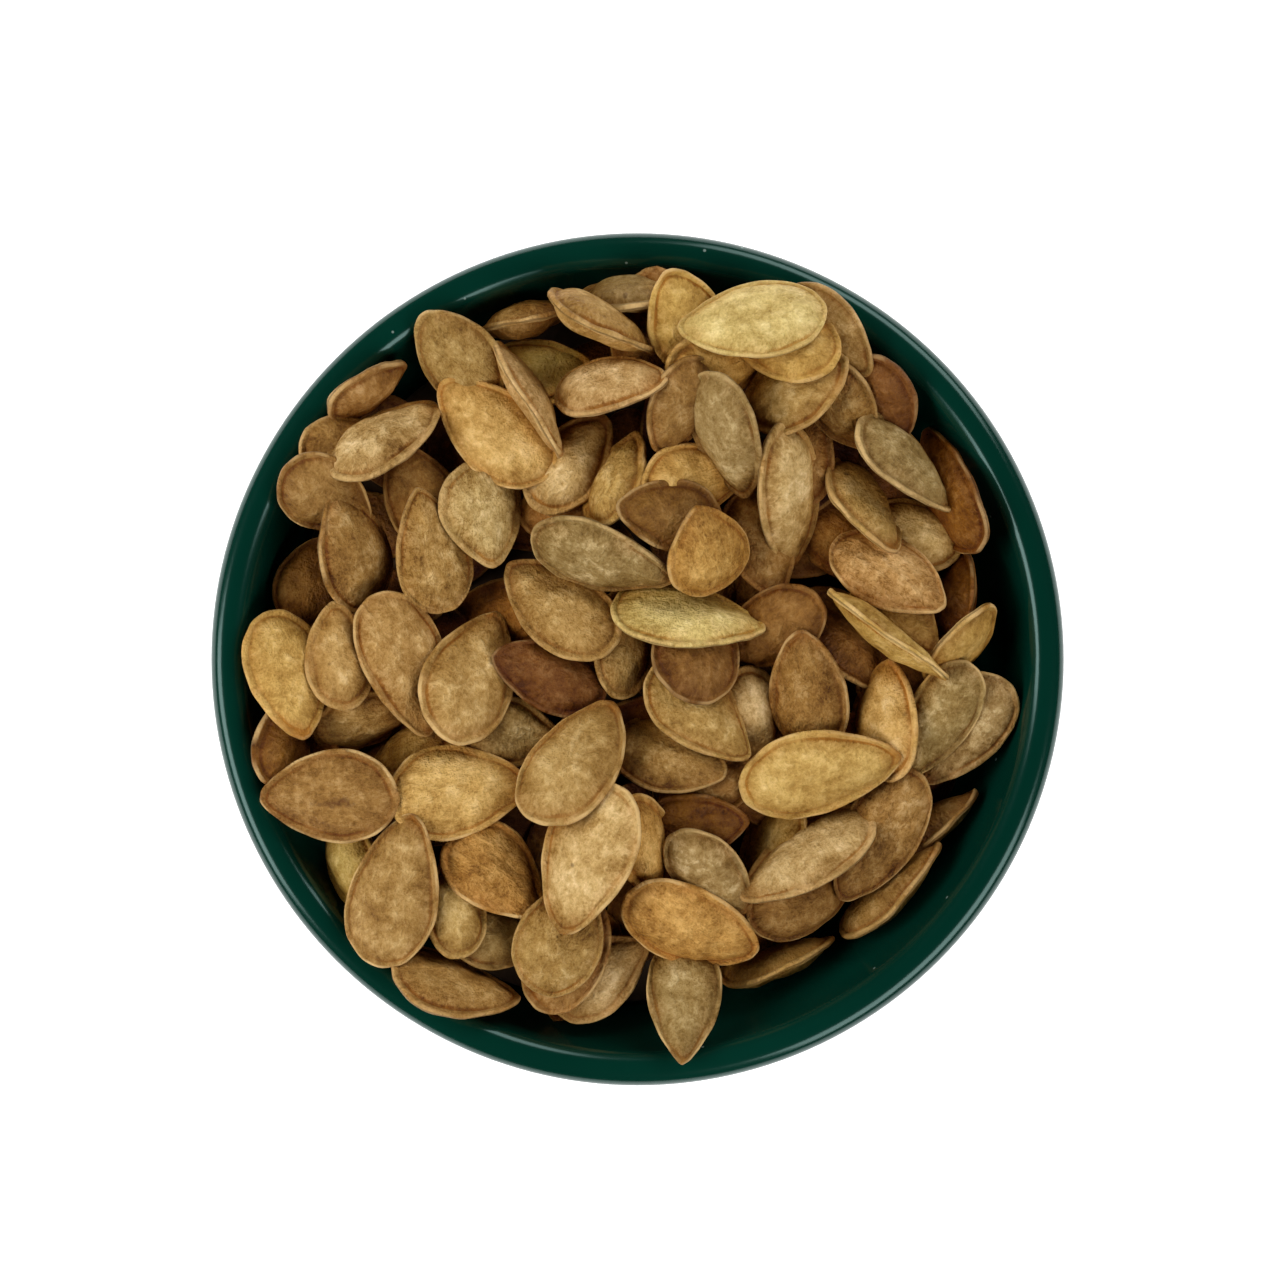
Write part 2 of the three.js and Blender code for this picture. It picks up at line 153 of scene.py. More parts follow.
class Finish:
    """A material with one Principled shader, and the ways to add nodes to it."""

    def __init__(self, name, **constants):
        self.material = bpy.data.materials.new(name)
        self.material.use_nodes = True
        self.tree = self.material.node_tree
        self.shader = self.tree.nodes["Principled BSDF"]
        for label, value in constants.items():
            self.shader.inputs[SOCKETS[label]].default_value = value

    def node(self, kind, settings=None, inputs=None, output=0):
        made = self.tree.nodes.new(kind)
        for label, value in (settings or {}).items():
            setattr(made, label, value)
        for label, value in (inputs or {}).items():
            self.feed(made.inputs[label], value)
        return Wire(self, made.outputs[output])

    def feed(self, socket, value):
        if isinstance(value, Wire):
            self.tree.links.new(value.socket, socket)
        elif isinstance(value, tuple) and len(value) == 3 and socket.type == "RGBA":
            socket.default_value = (*value, 1)
        else:
            socket.default_value = value

    def drive(self, **wires):
        for label, wire in wires.items():
            self.feed(self.shader.inputs[SOCKETS[label]], wire)

    def mix(self, share, first, second, blend="MIX"):
        """Colour mixing: sockets 6 and 7 are the colours A and B, and output 2 the result."""
        settings = {"data_type": "RGBA", "blend_type": blend}
        inputs = {0: share, 6: first, 7: second}
        return self.node("ShaderNodeMix", settings, inputs, output=2)

    def toasted(self, colour, light, green_law=1.3, blue_law=2.0):
        """Makes a colour lighter or darker as roasting does, which takes blue away before red.
        With other laws it also paints the shade deep in the heap.
        """
        parts = {0: light, 1: light**green_law, 2: light**blue_law}
        factors = self.node("ShaderNodeCombineColor", None, parts)
        return self.mix(1.0, colour, factors, "MULTIPLY")

    def own_place(self):
        """The place on the object itself, in metres."""
        return self.node("ShaderNodeTexCoord", output=3)

    def attribute(self, name, output):
        """A value kept on the mesh: output 0 is a colour, 1 a vector and 2 a number."""
        return self.node("ShaderNodeAttribute", {"attribute_name": name}, output=output)

    def noise(self, place, scale, detail=3.0, rough=0.55, distortion=0.0):
        inputs = {"Vector": place, "Scale": scale, "Detail": detail}
        inputs.update({"Roughness": rough, "Distortion": distortion})
        return self.node("ShaderNodeTexNoise", None, inputs)

    def spots(self, place, scale, inner, outer):
        """Round spots strewn over a place, 1 within the inner size and 0 past the outer."""
        cells = self.node("ShaderNodeTexVoronoi", None, {"Vector": place, "Scale": scale})
        return 1 - cells.step(inner, outer)

    def bump(self, height, strength, distance):
        inputs = {"Strength": strength, "Distance": distance, "Height": height}
        self.drive(normal=self.node("ShaderNodeBump", None, inputs))


print("sockets that finishes set:", sorted(SOCKETS.values()))

# %% [markdown]
# Colours are easiest to compare by eye on the scale of 0 to 255 that a screen shows. The
# shaders count light instead, so each number is put through a screen's standard curve.

# %% Turn a screen's colours into light
def shade(red, green, blue):
    """A colour as the eye names it, 0 to 255, as the linear numbers that shaders use."""
    values = []
    for part in (red, green, blue):
        part = part / 255
        values.append(part / 12.92 if part <= 0.04045 else ((part + 0.055) / 1.055) ** 2.4)
    return tuple(values)


print("a middle grey of 128, as light:", round(shade(128, 128, 128)[0], 3))

# %% [markdown]
# The floor is plain and almost white, and it glows a little, because the photograph fades
# to white all round the bowl.

# %% Lay the floor
FLOOR_SIDE = 6.0
FLOOR_GREY = 0.9
FLOOR_GLOW = 0.85

floor_mesh = bpy.data.meshes.new("floor")
floor_shape = bmesh.new()
bmesh.ops.create_grid(floor_shape, x_segments=1, y_segments=1, size=FLOOR_SIDE / 2)
floor_shape.to_mesh(floor_mesh)
floor_shape.free()
floor = bpy.data.objects.new("floor", floor_mesh)
bpy.context.scene.collection.objects.link(floor)
white = Finish("pale_floor", base_color=(FLOOR_GREY, FLOOR_GREY, FLOOR_GREY, 1), roughness=0.9)
white.shader.inputs["Emission Color"].default_value = (1, 1, 1, 1)
white.shader.inputs["Emission Strength"].default_value = FLOOR_GLOW
floor_mesh.materials.append(white.material)
print("floor side, m:", FLOOR_SIDE)

# %% [markdown]
# The light is soft. Three wide panels stand round the bowl at the lower right, the upper
# right and the left, which is where the thin bright arcs on the glazed lip say that the
# light came from. A fourth at the upper left brightens the husks' edges there and is kept
# out of what the glaze mirrors. The sky is dark, because a bright one would turn the almost
# black glaze grey.

# %% Hang the lights
PANEL_DISTANCE = 1.2
SKY_STRENGTH = 0.02
# Each panel: its heading round the bowl, counted from the right, and its height over the
# table in degrees, its width and height in metres, its power in watts, and whether the
# glaze mirrors it.
PANELS = {
    "panel_lower_right": (-46, 35, 0.85, 0.62, 9.3, True),
    "panel_upper_right": (58, 29, 0.9, 0.55, 7, True),
    "panel_left": (194, 33, 0.75, 0.55, 8.8, True),
    "fill_upper_left": (160, 40, 0.8, 0.8, 6.4, False),
}


def hang_panel(name, azimuth, elevation, width, height, power, mirrored):
    """A soft panel that looks at the bowl."""
    data = bpy.data.lights.new(name, "AREA")
    data.shape = "RECTANGLE"
    data.size = width
    data.size_y = height
    data.energy = power
    panel = bpy.data.objects.new(name, data)
    around = math.radians(azimuth)
    up = math.radians(elevation)
    away = Vector((math.cos(around) * math.cos(up), math.sin(around) * math.cos(up), math.sin(up)))
    panel.location = Vector((0, 0, BOWL_HEIGHT * MM)) + away * PANEL_DISTANCE
    panel.rotation_euler = (-away).to_track_quat("-Z", "Y").to_euler()
    panel.visible_glossy = mirrored
    bpy.context.scene.collection.objects.link(panel)


for name, values in PANELS.items():
    hang_panel(name, *values)
world = bpy.data.worlds.new("studio")
world.use_nodes = True
world.node_tree.nodes["Background"].inputs["Color"].default_value = (1, 1, 1, 1)
world.node_tree.nodes["Background"].inputs["Strength"].default_value = SKY_STRENGTH
bpy.context.scene.world = world
bpy.context.scene.view_settings.view_transform = "Standard"

# %% [markdown]
# The bowl is thrown on a wheel, so its section spun round the axis is the whole shape.
# Each wall follows one formula, nearly upright at the lip and curving in to the floor.
# The lip's two corners and the foot are arcs: the light draws its thin lines along them.

# %% Draw the bowl's section
RIM_RADIUS = 55.4
LIP_INNER_RADIUS = 50.8
OUTER_CORNER = 2.2
INNER_CORNER = 2.1
LIP_LEAN = 8
FLOOR_TOP = 7.0
UNDERSIDE = 3.2
UNDERSIDE_SETBACK = 1.5
UNDERSIDE_CORNER = 1.0
FOOT_OUTER_RADIUS = 27.0
FOOT_INNER_RADIUS = 22.5
FOOT_CORNER = 0.8
FOOT_NECK = 0.5
WALL_CURVE = 1.6
WALL_FULLNESS = 0.5
INSIDE_DEPTH = BOWL_HEIGHT - FLOOR_TOP
OUTSIDE_DEPTH = 52.0
WALL_STEPS = 26
INSIDE_SPACING = 1.6


def wall_radius(top_radius, depth, full_depth):
    share = min(max(depth / full_depth, 0), 1)
    return top_radius * (1 - share**WALL_CURVE) ** WALL_FULLNESS


def wall_depth(top_radius, radius, full_depth):
    """The depth under the rim at which a wall has a radius."""
    narrowing = 1 - np.minimum(radius / top_radius, 1) ** (1 / WALL_FULLNESS)
    return full_depth * narrowing ** (1 / WALL_CURVE)


def arc(middle, radius, start, end, steps):
    """Points round a corner, from one angle to another, in degrees."""
    angles = [math.radians(start + (end - start) * i / steps) for i in range(steps + 1)]
    return [(middle[0] + radius * math.cos(a), middle[1] + radius * math.sin(a)) for a in angles]


def foot_section():
    """From the middle of the underside round the foot ring."""
    edge = FOOT_INNER_RADIUS - UNDERSIDE_SETBACK
    points = [(0, UNDERSIDE), (edge, UNDERSIDE)]
    points += arc((edge, UNDERSIDE - UNDERSIDE_CORNER), UNDERSIDE_CORNER, 90, 10, 4)
    points += arc((FOOT_INNER_RADIUS + FOOT_CORNER, FOOT_CORNER), FOOT_CORNER, 180, 270, 5)
    points += arc((FOOT_OUTER_RADIUS - FOOT_CORNER, FOOT_CORNER), FOOT_CORNER, 270, 360, 5)
    return points


def bowl_section():
    """The section as (radius, height), up the outside, over the lip and down the inside."""
    points = foot_section()
    start = wall_depth(RIM_RADIUS, FOOT_OUTER_RADIUS + FOOT_NECK, OUTSIDE_DEPTH)
    for i in range(WALL_STEPS + 1):
        depth = start + (OUTER_CORNER - start) * i / WALL_STEPS
        points.append((wall_radius(RIM_RADIUS, depth, OUTSIDE_DEPTH), BOWL_HEIGHT - depth))
    outer_middle = (points[-1][0] - OUTER_CORNER, BOWL_HEIGHT - OUTER_CORNER)
    points += arc(outer_middle, OUTER_CORNER, LIP_LEAN, 90, 8)
    lip_inside = wall_radius(LIP_INNER_RADIUS, INNER_CORNER, INSIDE_DEPTH)
    inner_middle = (lip_inside + INNER_CORNER, BOWL_HEIGHT - INNER_CORNER)
    points += arc(inner_middle, INNER_CORNER, 90, 180 - LIP_LEAN, 7)
    for i in range(1, WALL_STEPS):
        share = 1 - (1 - i / WALL_STEPS) ** INSIDE_SPACING
        depth = INNER_CORNER + (INSIDE_DEPTH - INNER_CORNER) * share
        points.append((wall_radius(LIP_INNER_RADIUS, depth, INSIDE_DEPTH), BOWL_HEIGHT - depth))
    points.append((0, FLOOR_TOP))
    return points


section = bowl_section()
print("section points:", len(section))

# %% [markdown]
# Spinning the section is what the wheel does, in 200 small turns. Every turn leaves its own
# copy of the two points on the axis, so these are merged into one each afterwards.

# %% Spin the bowl
SPIN_STEPS = 200


def keep_shape(shape, name):
    """Turns a bmesh into a smooth-shaded object in the scene."""
    mesh = bpy.data.meshes.new(name)
    shape.to_mesh(mesh)
    shape.free()
    mesh.shade_smooth()
    made = bpy.data.objects.new(name, mesh)
    bpy.context.scene.collection.objects.link(made)
    return made


turning = bmesh.new()
outline = [turning.verts.new((radius * MM, 0, height * MM)) for radius, height in section]
edges = [turning.edges.new(pair) for pair in zip(outline, outline[1:])]
bmesh.ops.spin(
    turning,
    geom=outline + edges,
    axis=(0, 0, 1),
    angle=math.tau,
    steps=SPIN_STEPS,
    use_merge=True,
)
bmesh.ops.remove_doubles(turning, verts=turning.verts, dist=1e-6)
bmesh.ops.recalc_face_normals(turning, faces=turning.faces)
bowl = keep_shape(turning, "glazed_bowl")
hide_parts("bowl")
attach(bowl, "root")
print("bowl faces:", len(bowl.data.polygons))

# %% [markdown]
# The glaze is a very dark green glass over clay. Its colour is almost black where no
# light reaches and shows green on the lip. It pools a little unevenly, so a broad, faint
# bump bends the bright lines, and a few specks of dust lie on it. The ring that the bowl
# stands on is wiped clean before firing and shows the bare clay.

# %% Glaze the bowl
GLAZE = shade(1, 42, 32)
THIN_GLAZE = shade(4, 52, 41)
CLAY = shade(176, 158, 132)
DUST = shade(150, 168, 160)
GLAZE_ROUGHNESS = 0.19
CLAY_ROUGHER_BY = 0.65
GREENISH_MIRROR = (0.66, 1, 0.94, 1)
WIPED_HEIGHTS = (0.0003, 0.0006)
DUST_SHARE = 0.6

glaze = Finish(
    "dark_green_glaze", roughness=GLAZE_ROUGHNESS, gloss=0.42, gloss_tint=GREENISH_MIRROR
)
place = glaze.own_place()
height = glaze.node("ShaderNodeSeparateXYZ", None, {0: place}, output=2)
pooling = glaze.noise(place, 26.0, 4.0)
colour = glaze.mix(pooling.step(0.35, 0.75) * 0.5, GLAZE, THIN_GLAZE)
specks = glaze.spots(place, 180.0, 0.03, 0.05)
colour = glaze.mix(specks * DUST_SHARE, colour, DUST)
bare = 1 - height.step(*WIPED_HEIGHTS)
colour = glaze.mix(bare, colour, CLAY)
glaze.drive(base_color=colour, roughness=GLAZE_ROUGHNESS + bare * CLAY_ROUGHER_BY)
wobble = glaze.noise(place, 45.0, 2.0) + glaze.noise(place, 320.0, 2.0) * 0.06
glaze.bump(wobble, strength=0.25, distance=0.0006)
bowl.data.materials.append(glaze.material)
print("glaze nodes:", len(glaze.tree.nodes))

# %% [markdown]
# A heap of seeds lies as it was poured, so each seed must rest on the ones under it. A
# rigid-body run would put them anywhere. Here each seed that shows is set where it is
# seen, with its tip's heading, and lowered by itself onto a height map of all that is
# below it, which is quick, gives the same heap each time and needs no simulation. Of the
# small tilts round its own, a seed takes the one in which it lies lowest.

# %% Say where the seeds lie
# The seeds that show, from the lowest to the highest, each as x and y in millimetres, the
# heading of the tip in degrees, length, width, roll in degrees, and the roast's name.
NEAR_THE_WALL = [
    (-14, 44.5, 18, 14.5, 10.5, -70, "tan"),
    (-0.5, 47, 0, 14.5, 9.5, -72, "grey"),
    (41.5, 9, 82, 14.5, 9.5, -65, "dark"),
    (-43, 10, 75, 13, 9, 20, "umber"),
    (-45.5, -10, 80, 13.5, 9, 20, "dark"),
    (28, 1.5, -45, 14.5, 9.5, -50, "brown"),
    (35.5, 16.5, 160, 14.5, 9.5, 20, "olive"),
    (32, 34, -62, 13, 9, 35, "red"),
    (-37.4, 27, 0, 13, 9, 10, "tan"),
    (-36.8, -27, -65, 15, 9.5, 30, "pale"),
    (-28.5, -11, 25, 14.5, 9.5, -55, "tan"),
    (-35, -7.5, 15, 15, 9.5, 50, "tan"),
    (39, -22, 40, 15.5, 9.5, -72, "brown"),
    (42, 2, 52, 13.5, 9.5, 58, "golden"),
    (18.5, -40, 20, 16.5, 10.5, -70, "golden"),
    (33.5, -30.5, 43, 19, 11, -70, "tan"),
    (40.5, 22, 112, 19, 11, -60, "dark"),
    (-23.5, -42, -18, 18, 11.5, -48, "tan"),
    (-5, -41, 35, 15.5, 10, 0, "olive"),
    (6, -44, -90, 17, 10, 0, "grey"),
]
LOWER_LAYER = [
    (-18, -36, 0, 14, 9, 0, "grey"),
    (16, 15, -75, 15, 9.5, 0, "brown"),
    (15, -8, -78, 14.5, 9, -30, "olive"),
    (9, -16.5, 10, 14.5, 9, 0, "brown"),
    (7.5, -21.5, 5, 14, 9, 0, "dark"),
    (0.5, -24, -72, 14.5, 9, -30, "golden"),
    (-16.5, -9.5, -10, 14.5, 9.5, 0, "grey"),
    (4, -12.5, -15, 15.5, 10.5, 0, "brown"),
    (18, -24, 70, 14.5, 9, -30, "golden"),
    (21, -32, 10, 15, 9.5, 0, "brown"),
    (-9, 19, 5, 13, 8, 0, "pink"),
    (33.5, 5.5, -40, 13.5, 9.5, 0, "tan"),
    (21, 27, 85, 15, 9.5, -20, "brown"),
]
MIDDLE_LAYER = [
    (-8.5, 25.5, 52, 15.5, 10, 0, "olive"),
    (-2.5, 23, 70, 14, 9, -48, "golden"),
    (7, 23, 10, 15, 10, 0, "golden"),
    (4, 18.5, 170, 14, 9.5, 0, "umber"),
    (-13.5, 37, 10, 15.5, 10, 0, "pale"),
    (-23, 39, 130, 15, 10.5, 0, "tan"),
    (6, 43.5, 105, 14, 10.5, 0, "golden"),
    (24.5, 42, -45, 15, 9.5, 25, "tan"),
    (26.5, 32.5, -60, 13.5, 9, 0, "brown"),
    (10, 37.5, 10, 14.5, 9.5, 0, "golden"),
    (20.5, 34.5, 30, 15.5, 10, -25, "tan"),
    (19, 40.5, 165, 14.5, 10.5, 0, "golden"),
    (5.5, 32.5, -115, 14, 9.5, -42, "brown"),
    (-3.5, 35, 6, 16, 10, -40, "olive"),
    (-40, 21, -35, 14, 10.5, 10, "brown"),
    (-28, 21, 115, 15.5, 10, 20, "brown"),
    (-36.5, 14, 108, 17, 11, 42, "brown"),
    (-45, -2, -73, 18, 11, 0, "golden"),
    (-38.5, 0.5, 95, 14.5, 9, 0, "tan"),
    (-30, -0.5, -72, 19.5, 11.5, 0, "tan"),
    (-21.5, -2, 70, 19, 12.5, 0, "tan"),
    (-11.5, -2, 160, 16, 9.5, 0, "red"),
    (-2, 2, 92, 14.5, 8.5, 0, "tan"),
    (17.5, 4, 212, 15.5, 10, 0, "umber"),
    (8, -7, -45, 17, 11, 0, "tan"),
    (7.5, 1.5, 90, 16, 11.5, 0, "umber"),
    (32.5, 11, -33, 17, 10.5, -18, "pink"),
    (29.5, 20, -62, 16, 10.5, -42, "tan"),
    (34.5, 25, -41, 17.5, 10, -50, "grey"),
    (42.5, -9, 235, 17, 11, 0, "grey"),
    (39, -8, 243, 17.5, 9, 15, "grey"),
    (31.5, -23, 240, 19.5, 10.5, 0, "brown"),
    (32, -8, 90, 16, 10.5, -42, "golden"),
    (-23.5, -31.5, 95, 14.5, 8, 0, "tan"),
    (-18, -27.5, -40, 15.5, 11.5, 0, "orange"),
    (-9, -38.5, 60, 16, 10.5, 0, "brown"),
    (-10, -36, 65, 15.5, 11.5, 0, "tan"),
    (9.5, -27.5, -45, 15.5, 8.5, 0, "grey"),
]
TOP_LAYER = [
    (-23, -17, 5, 18.5, 12.5, 0, "golden"),
    (-31, -29.5, 78, 20, 12, 0, "tan"),
    (-39.5, -17.5, 180, 18.5, 12, 0, "brown"),
    (-6.5, -25.5, -110, 21, 12.5, 0, "olive"),
    (-8, -13, 58, 20, 12, 0, "tan"),
    (22, -4, 98, 17, 10.5, 0, "brown"),
    (23.5, -14.5, 12, 21, 11.5, 0, "golden"),
    (22, -25.5, 212, 20.5, 11, 50, "olive"),
    (7, -34.5, -22, 19, 11.5, 0, "orange"),
    (-10, 6.5, 140, 18, 11, 0, "tan"),
    (6.5, 5.5, -9, 20.5, 11.5, -54, "pale"),
    (-4.5, 13, -17, 19, 11, 20, "grey"),
    (9, 14, 100, 12.5, 11.5, 0, "orange"),
    (-26.5, 14, 103, 16.5, 10, 15, "tan"),
    (-20, 18.5, -80, 14, 11.5, 0, "olive"),
    (-18.5, 29.5, 138, 18.5, 11.5, -16, "golden"),
    (-32.5, 28.5, 34, 17.5, 10.5, -48, "olive"),
    (-13.5, 33.5, -61, 18.5, 10.5, -86, "olive"),
    (-34.5, 34.5, 36, 12.5, 9, 68, "brown"),
    (-4.5, 43, -27, 16.5, 10.5, -68, "tan"),
    (14.5, 43, 187, 19.5, 11, 12, "pale"),
    (11.5, 28.5, -73, 18, 10, 45, "grey"),
    (19.5, 21, -84, 20, 10.5, -44, "olive"),
    (32, 3, -37, 19.5, 11, -86, "golden"),
]
shown_rows = NEAR_THE_WALL + LOWER_LAYER + MIDDLE_LAYER + TOP_LAYER
print("seeds that show:", len(shown_rows))

# %% [markdown]
# Under the seeds that show lie more, seen only as dark shapes in the gaps. They are spread
# on a sunflower's spiral, which covers a disc evenly, with sizes and headings drawn from a
# small number generator that gives the same numbers each time. None lies against the wall
# at the lower right, where the glaze shows down to the dark.

# %% Draw the lower seeds
UNDER_SEEDS = 60
UNDER_RADIUS = 45
UNDER_LENGTHS = (14, 18)
UNDER_WIDTHS = (9, 11)
UNDER_ROLLS = (-25, 25)
UNDER_ROASTS = ["brown", "tan", "dark", "olive", "orange"]
GOLDEN_ANGLE = 2.39996
BARE_WALL_RADIUS = 42
BARE_WALL_LEFT = 0
BARE_WALL_TOP = 10
DRAW_FACTOR = 1664525
DRAW_STEP = 1013904223
DRAW_RANGE = 4294967296


def make_draw(start):
    """Draws numbers between two limits, the same ones each time."""
    state = start

    def draw(low, high):
        nonlocal state
        state = (state * DRAW_FACTOR + DRAW_STEP) % DRAW_RANGE
        return low + (high - low) * (state / DRAW_RANGE)

    return draw


def under_rows():
    """The lower seeds, in the same order of values as those that show."""
    draw = make_draw(11)
    rows = []
    for i in range(UNDER_SEEDS):
        radius = UNDER_RADIUS * math.sqrt((i + 0.5) / UNDER_SEEDS)
        angle = i * GOLDEN_ANGLE
        x = radius * math.cos(angle) + draw(-1, 1)
        y = radius * math.sin(angle) + draw(-1, 1)
        heading = draw(0, 360)
        length = draw(*UNDER_LENGTHS)
        width = draw(*UNDER_WIDTHS)
        roll = draw(*UNDER_ROLLS)
        roast = UNDER_ROASTS[i % len(UNDER_ROASTS)]
        by_bare_wall = radius > BARE_WALL_RADIUS and x > BARE_WALL_LEFT and y < BARE_WALL_TOP
        if not by_bare_wall:
            rows.append((x, y, heading, length, width, roll, roast))
    return rows


print("lower seeds:", len(under_rows()))

# %% [markdown]
# The height map has a value for every square millimetre. It starts as what lies deep in
# the bowl: the surface that the heap is filled to, taken down by the depth of the seeds.
# The bowl's inside is a second map. Its wall stands a little further in than the real one,
# because a husk bends and bulges more than the plain shape that it comes to rest with.

# %% Map the heights that seeds rest on
RESTING_RADIUS = 50.5
HEAP_RADIUS = 52.0
HEAP_CROWN = 7
RIGHT_HOLLOW = 13
HOLLOW_CURVE = 1.6
HOLLOW_HEADING = math.radians(-16)
SUPPORT_DEPTH = 13.5
HALF_FIELD = 60
OUTSIDE_BOWL = -100


def heap_top(x, y):
    """The height that the heap is filled to, lower at the right."""
    reach = np.hypot(x, y) / HEAP_RADIUS
    along = x * math.cos(HOLLOW_HEADING) + y * math.sin(HOLLOW_HEADING)
    to_right = np.maximum(0, along / HEAP_RADIUS)
    return BOWL_HEIGHT + HEAP_CROWN * (1 - reach**2) - RIGHT_HOLLOW * to_right**HOLLOW_CURVE


def bowl_top(x, y):
    """The height of the bowl's inside."""
    radius = np.hypot(x, y)
    wall = BOWL_HEIGHT - wall_depth(RESTING_RADIUS, radius, INSIDE_DEPTH)
    return np.where(radius > RIM_RADIUS, OUTSIDE_BOWL, wall)


middles = np.arange(2 * HALF_FIELD) + 0.5 - HALF_FIELD
field_x, field_y = np.meshgrid(middles, middles)
heap_field = heap_top(field_x, field_y) - SUPPORT_DEPTH
bowl_field = bowl_top(field_x, field_y)
print("height of the support in the middle, mm:", round(heap_field.max(), 1))

# %% [markdown]
# For resting, a seed is a plain lens. Its skin is sampled, turned and set against the two
# maps, in every small tilt round its own, and the lowest wins. A seed that stands on its
# edge is wedged between its neighbours, so it goes in deeper and is turned less.

# %% Let the seeds come to rest
CLEARANCE = 0.3
SEED_THICKNESS = 3.2
SEED_TAPER = 0.3
SEED_WIDEST = 1.04
SEED_SINK = 0.8
WEDGED_SINK = 3
STANDING_ROLL = 24
FREE_ROLL_STEP = 11
HELD_ROLL_STEP = 4
PITCH_STEP = 6
PITCH_TRIES = range(-4, 5)
ROLL_TRIES = range(-2, 3)
COST_PER_DEGREE = 0.01
# How many rings and spokes of the skin are sampled, while trying and for the map.
TRIAL_SKIN = (4, 16)
LASTING_SKIN = (12, 40)


def skin_points(length, width, rings, spokes):
    """Points on the upper and lower skin of a lens that is blunt behind."""
    share, angle = np.meshgrid(np.arange(rings + 1) / rings, np.arange(spokes) * math.tau / spokes)
    share = share.ravel()
    angle = angle.ravel()
    across = np.sin(angle) * (1 - SEED_TAPER * np.cos(angle)) / SEED_WIDEST
    dome = SEED_THICKNESS / 2 * np.sqrt(1 - share**3)
    flat = np.stack([length / 2 * np.cos(angle) * share, width / 2 * across * share], 1)
    return np.vstack([np.column_stack([flat, dome]), np.column_stack([flat, -dome])])


def seed_turn(heading, pitch, roll):
    turn = Matrix.Rotation(math.radians(heading), 3, "Z")
    turn = turn @ Matrix.Rotation(math.radians(-pitch), 3, "Y")
    return np.array(turn @ Matrix.Rotation(math.radians(roll), 3, "X"))


def cells_under(points, x, y):
    """The map's rows and columns that points lie over."""
    rows = np.floor(points[:, 1] + y + HALF_FIELD).astype(int)
    columns = np.floor(points[:, 0] + x + HALF_FIELD).astype(int)
    return rows, columns


def settle(row):
    """Lowers one seed onto the maps and raises the heap's map to its skin."""
    x, y, heading, length, width, roll, roast = row
    points = skin_points(length, width, *TRIAL_SKIN)
    sink = SEED_SINK + WEDGED_SINK * math.sin(math.radians(roll)) ** 2
    roll_step = HELD_ROLL_STEP if abs(roll) > STANDING_ROLL else FREE_ROLL_STEP
    best = None
    for i in PITCH_TRIES:
        for j in ROLL_TRIES:
            turn = seed_turn(heading, i * PITCH_STEP, roll + j * roll_step)
            turned = points @ turn.T
            cells = cells_under(turned, x, y)
            on_heap = (heap_field[cells] - turned[:, 2]).max() - sink
            on_bowl = (bowl_field[cells] - turned[:, 2]).max() + CLEARANCE
            height = max(on_heap, on_bowl)
            cost = height + COST_PER_DEGREE * (abs(i * PITCH_STEP) + abs(j * roll_step))
            if best is None or cost < best[0]:
                best = (cost, height, turn)
    _, height, turn = best
    turned = skin_points(length, width, *LASTING_SKIN) @ turn.T
    np.maximum.at(heap_field, cells_under(turned, x, y), height + turned[:, 2])
    place = (x, y, height)
    return {"place": place, "turn": turn, "length": length, "width": width, "roast": roast}


under_seeds = [settle(row) for row in under_rows()]
shown_seeds = [settle(row) for row in shown_rows]
highest = max(seed["place"][2] for seed in shown_seeds)
print("highest seed, mm over the rim:", round(highest - BOWL_HEIGHT, 1))

# %% [markdown]
# Every husk starts from the same ball of rings, whose poles are the middles of its two
# faces. The outer rings will lie close together, over the margin and the groove, and the
# others are spread over the swelling, so that a few corners are enough.

# %% Make a ball of rings
SPOKES = 76
BODY_RINGS = 11
EDGE_RINGS = (0.0, 0.05, 0.16, 0.34, 0.56, 0.76, 0.9, 1.02, 1.16)
UNDER_SPOKES = 24
UNDER_BODY_RINGS = 3
UNDER_EDGE_RINGS = (0.0, 0.3, 1.05)


def ball_of_rings(spokes, edge_rings, body_rings):
    """A ball with its poles up and down: its corners' angle, ring and side, and its faces."""
    per_side = len(edge_rings) - 1 + body_rings
    ball = bmesh.new()
    bmesh.ops.create_uvsphere(ball, u_segments=spokes, v_segments=2 * per_side, radius=1)
    corners = np.array([v.co for v in ball.verts])
    faces = [[v.index for v in face.verts] for face in ball.faces]
    ball.free()
    reach = np.clip(np.hypot(corners[:, 0], corners[:, 1]), 0, 1)
    ring = np.rint(np.degrees(np.arccos(reach)) / 90 * per_side).astype(int)
    return {
        "angle": np.arctan2(corners[:, 1], corners[:, 0]),
        "side": np.where(corners[:, 2] >= -1e-6, 1.0, -1.0),
        "margin_share": np.array(list(edge_rings) + [edge_rings[-1]] * body_rings)[ring],
        "body_share": np.clip((per_side - ring) / body_rings, 0, 1),
        "on_edge": ring < len(edge_rings),
        "faces": faces,
    }


shown_ball = ball_of_rings(SPOKES, EDGE_RINGS, BODY_RINGS)
under_ball = ball_of_rings(UNDER_SPOKES, UNDER_EDGE_RINGS, UNDER_BODY_RINGS)
print("corners in one husk:", len(shown_ball["angle"]))

# %% [markdown]
# A pumpkin seed is a flat husk. Round its edge runs a flat margin about a millimetre
# wide, inside it a groove, and between the two faces swell over the kernel. Each of these
# is drawn here by itself, with chance in it, because no two seeds in the bowl are alike.

